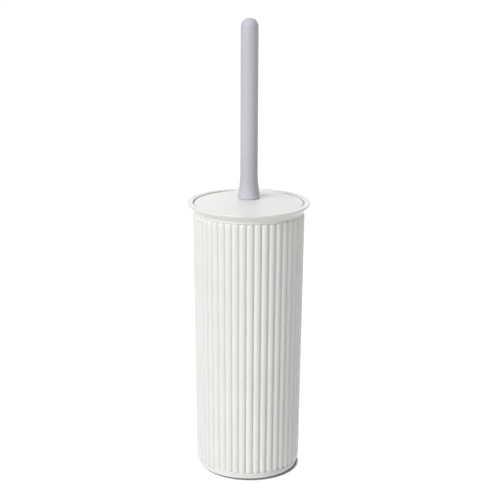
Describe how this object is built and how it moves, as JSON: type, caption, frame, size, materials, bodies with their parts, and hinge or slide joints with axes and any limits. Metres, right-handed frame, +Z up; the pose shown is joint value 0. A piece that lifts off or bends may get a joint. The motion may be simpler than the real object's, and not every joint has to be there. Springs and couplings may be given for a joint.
{
  "type": "toilet brush holder",
  "caption": "Tall ribbed pot with a flared rim and a removable cup; a round crowned lid carries the slim handle and the bristle brush that hangs inside.",
  "frame": {"origin": "on the pot's axis, on the surface that the base pads stand on", "axes": "+Z up along the common axis of pot, lid and brush; -Y is the front, and a rib's crest faces it"},
  "size_m": [0.104, 0.104, 0.39],
  "materials": {
    "pot_plastic": "satin moulded white",
    "pad_rubber": "matte",
    "cup_plastic": "smooth moulded",
    "lid_plastic": "satin moulded white",
    "seal_rubber": "soft matte",
    "handle_plastic": "soft matte cool grey",
    "rod_steel": "drawn",
    "stem_plastic": "smooth moulded white",
    "washer_plastic": "smooth",
    "clip_steel": "stamped",
    "insert_brass": "turned",
    "bristle": "fine filaments",
    "anchor_wire": "flattened wire"
  },
  "bodies": {
    "pot": {"ribbed_pot": "pot_plastic", "base_pads": "pad_rubber"},
    "cup": {"drip_cup": "cup_plastic"},
    "lid": {"lid_disc": "lid_plastic", "lid_seal": "seal_rubber"},
    "brush": {"handle_grip": "handle_plastic", "core_rod": "rod_steel", "stem_sleeve": "stem_plastic", "thrust_washer": "washer_plastic", "retaining_clip": "clip_steel", "brush_hub": "stem_plastic", "hub_insert": "insert_brass", "bristle_row_1": "bristle", "bristle_row_2": "bristle", "bristle_row_3": "bristle", "bristle_row_4": "bristle", "bristle_row_5": "bristle", "bristle_row_6": "bristle", "bristle_row_7": "bristle", "bristle_row_8": "bristle", "bristle_row_9": "bristle", "bristle_row_10": "bristle", "tip_tufts": "bristle", "tuft_anchors": "anchor_wire"}
  },
  "joints": [
    {"name": "cup_lift", "type": "slide", "parent": "pot", "child": "cup", "axis": [0, 0, 1], "range_m": [0, 0.25]},
    {"name": "brush_lift", "type": "slide", "parent": "cup", "child": "lid", "axis": [0, 0, 1], "range_m": [0, 0.25]},
    {"name": "handle_turn", "type": "hinge", "parent": "lid", "child": "brush", "pos_m": [0, 0, 0.2395], "axis": [0, 0, 1], "continuous": true}
  ]
}
